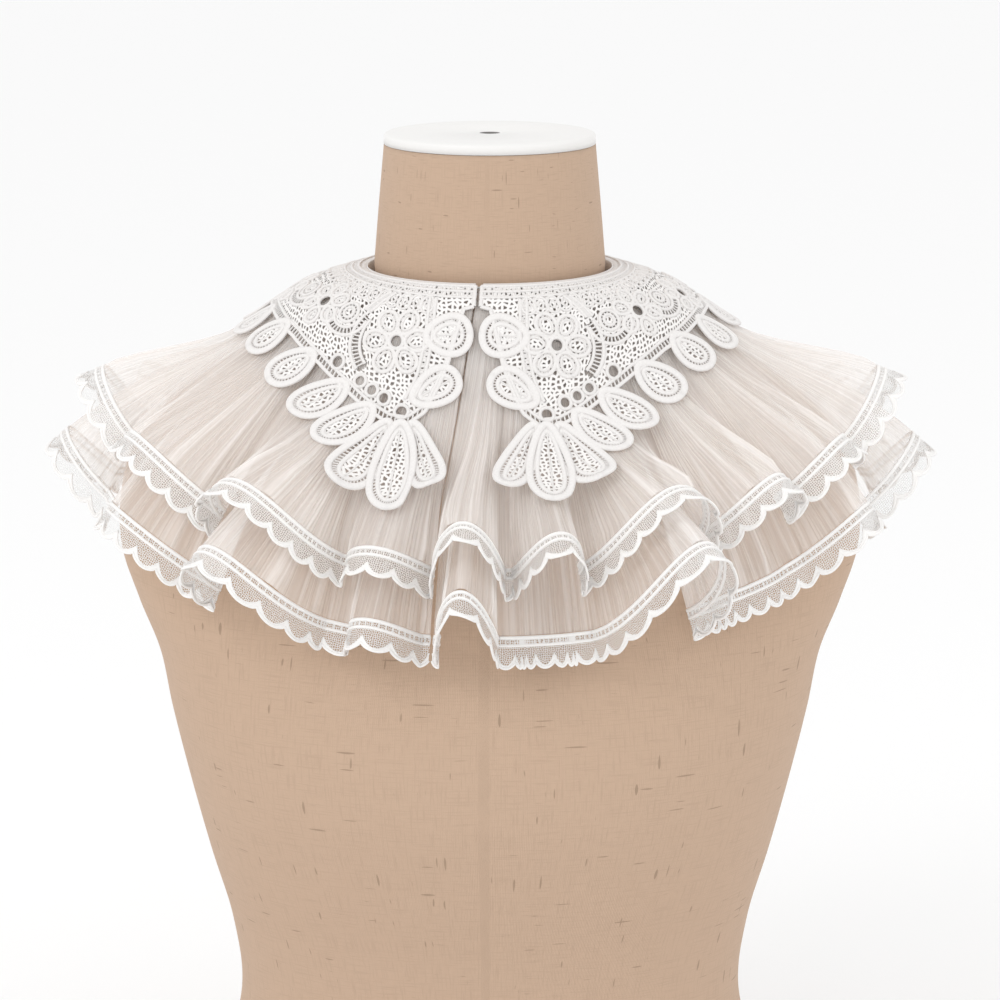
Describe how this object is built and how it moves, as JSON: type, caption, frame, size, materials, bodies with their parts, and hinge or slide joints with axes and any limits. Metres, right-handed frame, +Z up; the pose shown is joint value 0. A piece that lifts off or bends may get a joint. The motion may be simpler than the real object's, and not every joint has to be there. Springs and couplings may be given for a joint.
{
  "type": "detachable ruffled lace collar on a dress form",
  "caption": "Detachable capelet collar of sheer crinkled ruffles edged with scalloped lace, with a guipure lace top, shown on a limbless dress form.",
  "frame": {"origin": "middle of the flat underside of the dress form, level with the surface that it stands on", "axes": "+Z up, -Y is the wearer's front where the collar opens, +X is the wearer's left"},
  "size_m": [0.4447, 0.3506, 0.5393],
  "materials": {
    "chiffon": "sheer crinkle-pleated chiffon",
    "net_lace": "scalloped net lace",
    "guipure": "thick embroidered lace",
    "band": "narrow binding",
    "wire": "nickel plated wire",
    "linen": "plain weave linen cover",
    "cap": "satin"
  },
  "bodies": {
    "root": {"lower_ruffle": "chiffon", "upper_ruffle": "chiffon", "lower_edging": "net_lace", "upper_edging": "net_lace", "lace_collar_left": "guipure", "lace_collar_right": "guipure", "neck_band": "band", "closure_hook": "wire", "closure_eye": "wire", "form_body": "linen", "neck_cap": "cap"}
  },
  "joints": []
}
